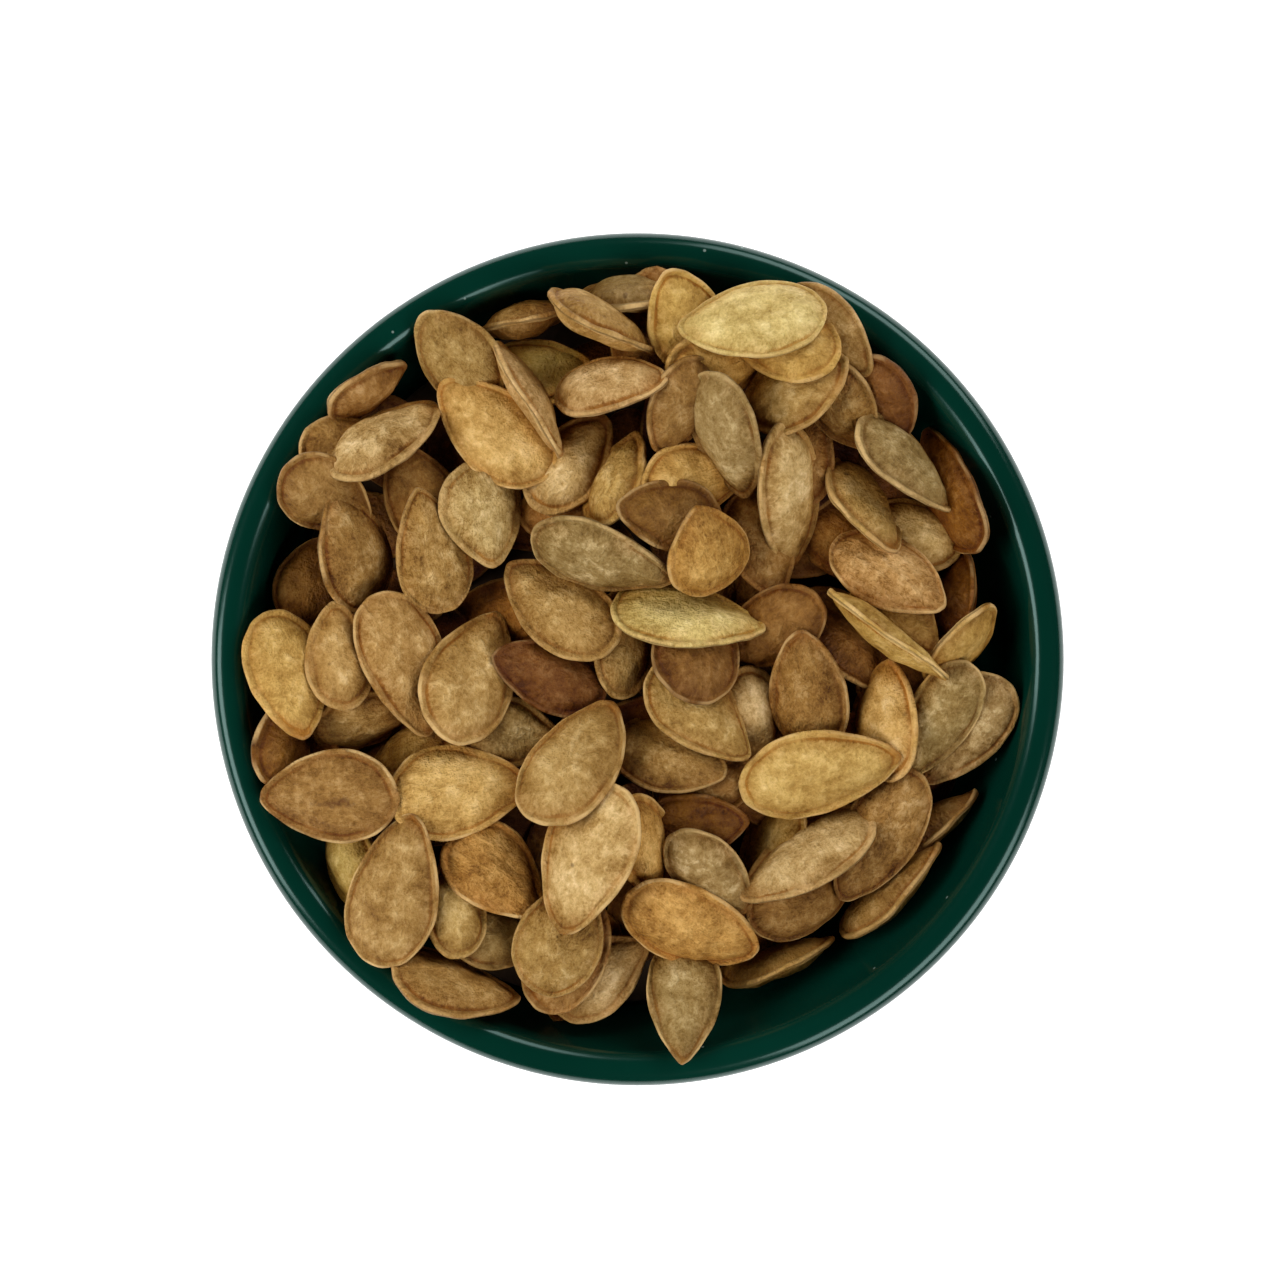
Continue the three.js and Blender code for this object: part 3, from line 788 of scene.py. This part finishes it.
# %% Draw the parts of a husk
PINCH = (0.2, 0.42)
TAPER = (0.08, 0.2)
TIP_ASIDE = 0.35
UNEVEN_EDGE = 0.018
MARGIN_RISE = 0.42
GROOVE_RISE = 0.3
EDGE_ROUNDING = 0.3
KERNEL_RISE = 1.75
KERNEL_SPREAD = (0.85, 1.15)
KERNEL_FULLNESS = (1.9, 3.0)
BEND_ALONG = 0.55
BEND_ACROSS = 0.35
TWIST = 0.16


def lumps(points, draw, size, waves=6):
    """A smooth, random unevenness between about -1 and 1, with bumps of a size in millimetres."""
    total = np.zeros(len(points))
    for _ in range(waves):
        heading = draw.normal(size=3)
        heading *= math.tau / size / np.linalg.norm(heading) * draw.uniform(0.6, 1.4)
        total += np.sin(points @ heading + draw.uniform(0, math.tau))
    return total / waves * 1.6


def outline_of(angle, seed, draw):
    """The edge of a husk: blunt behind, pinched to a narrow tip, a little uneven."""
    pinch = draw.uniform(*PINCH)
    taper = draw.uniform(*TAPER)
    tip = ((1 + np.cos(angle)) / 2) ** 4
    uneven = 1 + UNEVEN_EDGE * np.sin(2 * angle + draw.uniform(0, 6))
    for waves in (3, 5, 9, 15):
        uneven += UNEVEN_EDGE / waves**0.6 * np.sin(waves * angle + draw.uniform(0, 6))
    along = seed["length"] / 2 * np.cos(angle) * uneven
    narrowing = 1 - taper * np.cos(angle)
    across = seed["width"] / 2 * np.sin(angle) * narrowing * (1 - pinch * tip) * uneven
    across += draw.uniform(-TIP_ASIDE, TIP_ASIDE) * np.cos(angle) ** 2
    return along, across


def margin_rise(out, around, draw):
    """The margin's height, round at the very edge and falling into the groove."""
    past_edge = np.clip(out / EDGE_ROUNDING, 0, 1)
    round_edge = np.sqrt(np.clip(1 - (1 - past_edge) ** 2, 0, 1))
    fall = np.clip((out - 0.5) / 0.5, 0, 1)
    rise = MARGIN_RISE * (1 + 0.3 * lumps(around, draw, 5.0))
    return round_edge * (rise + (GROOVE_RISE - rise) * (3 * fall**2 - 2 * fall**3))


def kernel_rise(inner_share, angle, draw):
    """The swelling over the kernel, which is fuller at the blunt end."""
    fullness = draw.uniform(*KERNEL_FULLNESS)
    swell = KERNEL_RISE * draw.uniform(*KERNEL_SPREAD) * (1 - inner_share**fullness) ** 0.75
    return swell * (1 - 0.2 * np.cos(angle) * inner_share)


def bent(along, across, up, share, seed, draw):
    """Bends a husk along and across, makes its edge wavy, and twists it end to end."""
    flat_place = np.column_stack([along, across, 0 * along])
    up = up + draw.uniform(-BEND_ALONG, BEND_ALONG) * (2 * along / seed["length"]) ** 2
    up += draw.uniform(-BEND_ACROSS, BEND_ACROSS) * (2 * across / seed["width"]) ** 2
    up += 0.2 * lumps(flat_place, draw, 11.0) + 0.1 * lumps(flat_place, draw, 3.5) * share**3
    twist = draw.uniform(-TWIST, TWIST) * 2 * along / seed["length"]
    turned_across = across * np.cos(twist) - up * np.sin(twist)
    return turned_across, across * np.sin(twist) + up * np.cos(twist)


a_seed = {"length": 18, "width": 11}
a_reach = np.hypot(*outline_of(shown_ball["angle"], a_seed, np.random.RandomState(1)))
print("one husk's edge, mm from its middle:", a_reach.min().round(1), "to", a_reach.max().round(1))

# %% [markdown]
# The parts make one husk, which then lies as it came to rest. Some seeds are wrinkled, and
# all have dents on the body, but none on the margin. With each corner go its distance in
# from the edge, counted in margins, and how strongly the pale edge, the line in the groove,
# the dark tip and the one burnt crease show there. The finish reads these.

# %% Shape the husks
MARGIN_WIDTH = 0.95
MARGIN_SPREAD = (0.75, 1.2)
WIDEST_MARGIN = 0.3
# How far apart the two faces lie in the patterns, so that they don't look the same.
FACES_APART = 2.0
EDGES_APART = 3
ALONG_WRINKLES = (0.45, 1.0, 1.0)
# How strongly the pale edge, the line and the dark tip show, from the least to the most.
PALE_SHOWS = (0.25, 1.0)
LINE_SHOWS = (0.5, 1.0)
TIP_SHOWS = (0.3, 1.0)
# The one seed with a burnt crease, by its place, where on the seed the crease is, and how
# far it spreads along and across.
SCORCHED = {(-39.5, -17.5): (-0.9, 0.9)}
SCORCH_LENGTH = 2.6
SCORCH_WIDTH = 0.9


def dents_on(flat, wrinkled, draw):
    dents = 0.2 * lumps(flat, draw, 7.5) + 0.13 * lumps(flat, draw, 3.6)
    dents += (0.05 + 0.15 * wrinkled) * lumps(flat * ALONG_WRINKLES, draw, 1.8, 9)
    return dents


def scorch_on(along, across, side, seed):
    """1 in the middle of a burnt crease, and 0 away from it and on other seeds."""
    if seed["place"][:2] not in SCORCHED:
        return np.zeros(len(along))
    spot_x, spot_y = SCORCHED[seed["place"][:2]]
    far_along = ((along - spot_x) / SCORCH_LENGTH) ** 2
    far_across = ((across - spot_y) / SCORCH_WIDTH) ** 2
    return np.exp(-far_along - far_across) * (side > 0)


def husk(ball, seed, draw):
    """One seed's corners in place, their place in its pattern, and their marks."""
    angle, side = ball["angle"], ball["side"]
    edge_along, edge_across = outline_of(angle, seed, draw)
    reach = np.hypot(edge_along, edge_across)
    around = np.column_stack([edge_along, edge_across, EDGES_APART * side])
    width = MARGIN_WIDTH * draw.uniform(*MARGIN_SPREAD) * (1 + 0.22 * lumps(around, draw, 8.0))
    width = np.minimum(width, WIDEST_MARGIN * reach)
    body_reach = reach - width * ball["margin_share"].max()
    in_margin = width * ball["margin_share"]
    inward = np.where(ball["on_edge"], in_margin, reach - body_reach * ball["body_share"])
    share = 1 - inward / reach
    along = edge_along * share
    across = edge_across * share

    band = margin_rise(np.clip(inward / width, 0, 1), around, draw)
    swell = kernel_rise(np.clip(share / (1 - width / reach), 0, 1), angle, draw)
    wrinkled = draw.uniform(0, 1) ** 2
    flat = np.column_stack([along, across, side * FACES_APART])
    on_body = np.clip((inward - 0.6 * width) / 1.2, 0, 1)
    up = side * (band + swell + dents_on(flat, wrinkled, draw) * on_body)
    across, up = bent(along, across, up, share, seed, draw)
    place = np.column_stack([along, across, up]) @ seed["turn"].T + np.array(seed["place"])

    pale = draw.uniform(*PALE_SHOWS) * np.clip(0.45 + 1.1 * lumps(around, draw, 4.5), 0, 1)
    line = draw.uniform(*LINE_SHOWS) * np.clip(0.6 + 1.0 * lumps(around, draw, 9.0), 0.05, 1)
    near_tip = np.clip((2 * along / seed["length"] - 0.5) / 0.5, 0, 1)
    marks = {
        "edge": np.where(inward < width, inward / width, 1 + (inward - width)),
        "pale": pale,
        "line": line,
        "tip": draw.uniform(*TIP_SHOWS) * near_tip**1.5,
        "wrinkled": np.full(len(along), wrinkled),
        "scorch": scorch_on(along, across, side, seed),
    }
    return place, flat, marks


a_place, _, some_marks = husk(shown_ball, shown_seeds[0], np.random.RandomState(1))
print("marks at each of", len(a_place), "corners:", list(some_marks))

# %% [markdown]
# Deep between the seeds the light has bounced from husk to husk, which leaves it dim and
# warm. How open each corner lies to the sky is found on the height map, by looking for the
# horizon in a ring of headings. The finish darkens and warms the husk with it a little.

# %% Measure how open the husks lie
HORIZON_HEADINGS = 12
HORIZON_REACHES = (1.5, 3.0, 5.0, 8.0)


def map_cell(value):
    return np.clip(value + HALF_FIELD, 0, 2 * HALF_FIELD - 1).astype(int)


def openness(places):
    """1 where the whole sky is seen, 0 where none of it is."""
    seen = np.zeros(len(places))
    for i in range(HORIZON_HEADINGS):
        heading = math.tau * i / HORIZON_HEADINGS
        slope = np.zeros(len(places))
        for reach in HORIZON_REACHES:
            x = map_cell(places[:, 0] + reach * math.cos(heading))
            y = map_cell(places[:, 1] + reach * math.sin(heading))
            skyline = np.maximum(heap_field[y, x], np.minimum(bowl_field[y, x], BOWL_HEIGHT))
            slope = np.maximum(slope, (skyline - places[:, 2]) / reach)
        seen += 1 / (1 + slope**2)
    return seen / HORIZON_HEADINGS


open_middles = openness(np.array([seed["place"] for seed in shown_seeds])).round(2)
print("openness of the seeds' middles:", open_middles.min(), "to", open_middles.max())

# %% [markdown]
# The roasts run from pale to nearly burnt. A seed keeps its roast's colour in an attribute,
# a little off that of its neighbours, with its marks, its powder and a flat place that the
# husk's pattern follows. Seeds of one kind of roast are one piece, and so are the lower
# ones, which have fewer corners because they only show in the gaps, and whose colour is
# painted darker, as painted shade.

# %% Join the seeds by their roast
ROASTS = {
    "pale": shade(208, 183, 109),
    "golden": shade(202, 159, 85),
    "olive": shade(192, 156, 95),
    "grey": shade(157, 126, 72),
    "tan": shade(174, 134, 71),
    "pink": shade(200, 150, 90),
    "orange": shade(191, 143, 69),
    "brown": shade(153, 110, 52),
    "umber": shade(130, 88, 34),
    "red": shade(115, 69, 22),
    "dark": shade(121, 74, 15),
}
KINDS = {
    "golden_seeds": ["pale", "golden"],
    "olive_seeds": ["olive", "grey"],
    "tan_seeds": ["tan", "pink"],
    "brown_seeds": ["orange", "brown", "umber", "red", "dark"],
}
POWDERED = {
    "grey": 0.7,
    "pale": 0.8,
    "golden": 0.5,
    "olive": 0.7,
    "pink": 0.6,
    "tan": 0.5,
    "brown": 0.3,
}
OTHER_POWDER = 0.1
POWDER_SPREAD = (0.5, 1.3)
TONE_SPREAD = (0.94, 1.06)
HUE_SPREAD = 0.03
LOWER_SHADE = 0.62
# Shade takes green and blue away faster than red.
SHADE_LAWS = np.array([1.0, 1.5, 2.2])
PATTERN_SPREAD = 500
SHOWN_START = 40
LOWER_START = 60
VALUE_FIELDS = {"FLOAT": "value", "FLOAT_VECTOR": "vector", "FLOAT_COLOR": "color"}


def keep_values(mesh, label, kind, values):
    """Keeps a value for every corner on the mesh, where a finish finds it by its label."""
    attribute = mesh.attributes.new(label, kind, "POINT")
    attribute.data.foreach_set(VALUE_FIELDS[kind], np.ravel(values))


def joined_seeds(name, seeds, ball, start, darker=1.0):
    """One mesh from many husks, built from arrays."""
    count = len(ball["angle"])
    draw = np.random.RandomState(start)
    places, patterns, tones, all_faces = [], [], [], []
    values = {}
    for number, seed in enumerate(seeds):
        place, flat, marks = husk(ball, seed, draw)
        tone = np.array(ROASTS[seed["roast"]]) * draw.uniform(*TONE_SPREAD)
        # Painted shade: for the lower seeds darker is below one and darkens the colour, green and
        # blue faster than red.
        tone = tone * darker**SHADE_LAWS
        tone *= 1 + draw.uniform(-HUE_SPREAD, HUE_SPREAD, 3)
        places.append(place * MM)
        patterns.append(flat + draw.uniform(-PATTERN_SPREAD, PATTERN_SPREAD, 3))
        tones.append(np.tile([*tone, 1.0], (count, 1)))
        powder = POWDERED.get(seed["roast"], OTHER_POWDER) * draw.uniform(*POWDER_SPREAD)
        marks["powder"] = np.full(count, powder)
        marks["open"] = openness(place)
        for label, mark in marks.items():
            values.setdefault(label, []).append(mark)
        all_faces += [[corner + number * count for corner in face] for face in ball["faces"]]
    mesh = bpy.data.meshes.new(name)
    mesh.from_pydata(np.vstack(places).tolist(), [], all_faces)
    keep_values(mesh, "pattern", "FLOAT_VECTOR", np.vstack(patterns))
    keep_values(mesh, "tone", "FLOAT_COLOR", np.vstack(tones))
    for label, parts in values.items():
        keep_values(mesh, label, "FLOAT", np.concatenate(parts))
    mesh.shade_smooth()
    made = bpy.data.objects.new(name, mesh)
    bpy.context.scene.collection.objects.link(made)
    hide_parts("pumpkin_seeds")
    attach(made, "root")
    print(name, len(seeds), "seeds,", sum(len(face) - 2 for face in all_faces), "triangles")
    return made


heaps = {}
for start, (kind, roasts) in enumerate(KINDS.items()):
    chosen = [seed for seed in shown_seeds if seed["roast"] in roasts]
    heaps[kind] = joined_seeds(kind, chosen, shown_ball, SHOWN_START + start)
heaps["lower_seeds"] = joined_seeds(
    "lower_seeds", under_seeds, under_ball, LOWER_START, LOWER_SHADE
)
print("pieces in the heap:", list(heaps))

# %% [markdown]
# A roasted husk is dry and dull. Close up it is cloudy and faintly streaked from golden to
# brown, with a thin cream line on the very edge, a warmer margin and an orange-brown line
# in the groove. Its middle is painted paler, as a painted highlight on the swelling, and
# the shoulder inside the groove darker, as painted shade. None of this needs a picture:
# noise of several sizes follows each seed's own flat place, and the distance in from the
# edge finds the margin. The streaks are noise drawn out along the seed. Where the roast
# made the husk darker it also took the blue away, and so each change of brightness shifts
# the hue with it.

# %% Mix the husks' colours and grain
MARKS = ("edge", "pale", "line", "tip", "wrinkled", "scorch", "powder", "open")
# Each size of unevenness: its scale per millimetre, detail, roughness and distortion.
GRAIN = {
    "broad": (0.15, 2.0, 0.55, 0.0),
    "clouds": (0.4, 4.0, 0.6, 0.2),
    "patches": (1.0, 4.0, 0.7, 0.15),
    "streaks": (0.9, 4.0, 0.65, 0.3),
    "fine": (3.2, 3.0, 0.75, 0.0),
}
ALONG_STREAKS = (0.45, 1.0, 1.0)
POWDER_FILM = shade(214, 180, 122)
CREAM_EDGE = shade(236, 198, 134)
PIT = shade(82, 48, 20)
BURNT = shade(92, 50, 12)
RUST = (0.64, 0.43, 0.2)
DARKEST = 0.05


def husk_grain(finish, pattern):
    """Unevenness of each size, about nought, by its name."""
    settings = {"operation": "MULTIPLY"}
    drawn_out = finish.node("ShaderNodeVectorMath", settings, {0: pattern, 1: ALONG_STREAKS})
    grain = {}
    for label, values in GRAIN.items():
        place = drawn_out if label == "streaks" else pattern
        grain[label] = finish.noise(place, *values) - 0.5
    return grain


def husk_zones(mark, grain):
    """The husk's zones from the edge inward, found by a ragged distance, and its creases."""
    ragged = mark["edge"] + grain["patches"] * 0.35 + grain["fine"] * 0.25
    return {
        "cream": (1 - ragged.step(0.18, 0.44)) * mark["pale"],
        "margin": 1 - ragged.step(0.8, 1.05),
        "groove": ragged.band(0.74, 0.92, 1.06, 1.36) * mark["line"],
        "shoulder": ragged.band(0.85, 1.1, 1.2, 3.2),
        "middle": (mark["edge"] + grain["broad"] * 3).step(1.4, 4.2),
        "creases": (1 - abs(grain["streaks"]).step(0.0, 0.035)) * mark["wrinkled"],
    }


def husk_light(mark, grain, zone, cloudy, grainy):
    """How light the husk is at each spot, about one."""
    light = 1.0 + grain["broad"] * (1.1 * cloudy) + grain["clouds"] * (1.3 * cloudy)
    light = light + grain["patches"] * (1.05 * grainy) + grain["streaks"] * (0.65 * grainy)
    light = light + grain["fine"] * (0.9 * grainy)
    # Painted light and shade: the paler middle is a painted highlight on the swelling, and the
    # darker shoulder inside the groove is painted shade.
    light = light + zone["middle"] * 0.09 + zone["margin"] * 0.03
    light = light - zone["shoulder"] * (0.02 + mark["line"] * 0.1)
    # Painted shade: the creases are painted darker, besides being sunk by the bump.
    light = light - mark["tip"] * (0.22 + grain["patches"] * 2) - zone["creases"] * 0.3
    return light.at_least(DARKEST)


print("sizes of grain, mm:", {label: round(1 / values[0], 1) for label, values in GRAIN.items()})

# %% [markdown]
# The colours go on in the order of their making. The roast comes first, then the powder
# left by the dried pulp, the rust in the groove and at the tip, the cream edge, and last
# small pits and the burnt crease. Over all of it goes painted shade: deep in the gaps
# everything is painted darker and warmer. The same grain is the bump, so the husk's own
# mottling also paints light on the rises of the surface and shade in its hollows.

# %% Colour the husks
def husk_finish(name, cloudy, grainy):
    finish = Finish(name, roughness=0.5, gloss=0.2)
    pattern = finish.attribute("pattern", 1)
    tone = finish.attribute("tone", 0)
    mark = {label: finish.attribute(label, 2) for label in MARKS}
    grain = husk_grain(finish, pattern)
    broad, clouds, patches = grain["broad"], grain["clouds"], grain["patches"]
    zone = husk_zones(mark, grain)
    light = husk_light(mark, grain, zone, cloudy, grainy)

    colour = finish.toasted(tone, light)
    film = clouds.step(-0.06, 0.1) * patches.step(-0.08, 0.06) * mark["powder"]
    colour = finish.mix(film * 0.4, colour, finish.toasted(POWDER_FILM, light))
    # The rust on the shoulder is partly painted shade, like the shoulder's darkening.
    stained = zone["margin"] * 0.45 + zone["shoulder"] * 0.25 + mark["tip"] * 0.8
    rusty = zone["groove"] + stained * clouds.step(-0.1, 0.1)
    colour = finish.mix(rusty, colour, finish.mix(1.0, colour, RUST, "MULTIPLY"))
    colour = finish.mix(zone["cream"] * 0.8, colour, CREAM_EDGE)
    pits = finish.spots(pattern, 0.16, 0.03, 0.07) * broad.step(0.0, 0.05)
    colour = finish.mix(pits * 0.6, colour, PIT)
    blotches = (mark["scorch"] + clouds * 3 + patches * 1.5).step(0.25, 1.0)
    burnt = blotches * mark["scorch"].step(0.1, 0.5)
    colour = finish.mix(burnt * 0.85, colour, BURNT)
    # Painted shade: the less of the sky a corner sees, the darker and warmer its colour is
    # painted.
    depth_shade = 0.6 + mark["open"].step(0.1, 0.9) * 0.4
    finish.drive(base_color=finish.toasted(colour, depth_shade, green_law=1.7, blue_law=3.2))

    # The same noise lightens the colour where it raises the bump, so the lighter mottling is
    # partly painted light on the rises and the darker partly painted shade in the hollows.
    relief = clouds * 1.2 + patches * 1.2 + grain["streaks"] * (0.5 + mark["wrinkled"])
    relief = relief + grain["fine"] * 0.3 - zone["creases"] * 0.1
    finish.bump(relief, strength=0.9, distance=0.0006)
    return finish.material


FINISHES = {
    "golden_seeds": husk_finish("golden_husk", 0.9, 0.9),
    "olive_seeds": husk_finish("olive_husk", 1.0, 1.1),
    "tan_seeds": husk_finish("tan_husk", 1.0, 1.0),
    "brown_seeds": husk_finish("brown_husk", 1.1, 1.1),
    "lower_seeds": husk_finish("lower_husk", 1.0, 1.0),
}
for kind, made in heaps.items():
    made.data.materials.append(FINISHES[kind])
print("husk finishes:", list(FINISHES))

# %% [markdown]
# Below the lowest seeds nothing can be seen, so the rest of the filling is one dark core,
# painted the brown of the shadow between seeds: its colour is painted shade. It follows
# the bowl's wall, a little away from it, and ends under the lowest seeds. It is a ball
# whose corners are moved there.

# %% Fill the bowl with a core
CORE_SPOKES = 64
CORE_RINGS = 24
CORE_WALL_GAP = 0.8
CORE_LIFT = 0.2
CORE_SUNK = 0.5
CORE_STEP = 0.25
CORE_DARK = shade(40, 26, 14)
CORE_LIGHT = shade(84, 58, 32)


def core_top(x, y):
    return float(heap_top(x, y)) - SUPPORT_DEPTH - CORE_SUNK


def core_bottom(radius):
    return float(bowl_top(radius + CORE_WALL_GAP, 0))


def core_reach(unit):
    """How far out on a heading the core's top is still above its bottom."""
    radius = 0.0
    while radius < RESTING_RADIUS:
        if core_top(unit[0] * radius, unit[1] * radius) <= core_bottom(radius):
            break
        radius += CORE_STEP
    return radius


core_shape = bmesh.new()
bmesh.ops.create_uvsphere(core_shape, u_segments=CORE_SPOKES, v_segments=CORE_RINGS, radius=1)
for corner in core_shape.verts:
    reach = math.hypot(corner.co.x, corner.co.y)
    unit = (corner.co.x / max(reach, 1e-9), corner.co.y / max(reach, 1e-9))
    radius = core_reach(unit) * min(reach, 1)
    x = unit[0] * radius
    y = unit[1] * radius
    z = core_top(x, y) if corner.co.z >= 0 else core_bottom(radius) + CORE_LIFT
    corner.co = Vector((x, y, z)) * MM
core = keep_shape(core_shape, "seed_core")
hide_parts("pumpkin_seeds")
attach(core, "root")
# Painted shade: the core's dark brown stands in for the shadow deep under the seeds.
core_shade = Finish("core_shadow", roughness=0.9)
core_shade_noise = core_shade.noise(core_shade.own_place(), 260.0, 4.0)
core_shade.drive(base_color=core_shade.mix(core_shade_noise, CORE_DARK, CORE_LIGHT))
core.data.materials.append(core_shade.material)
print("core faces:", len(core.data.polygons))

# %% [markdown]
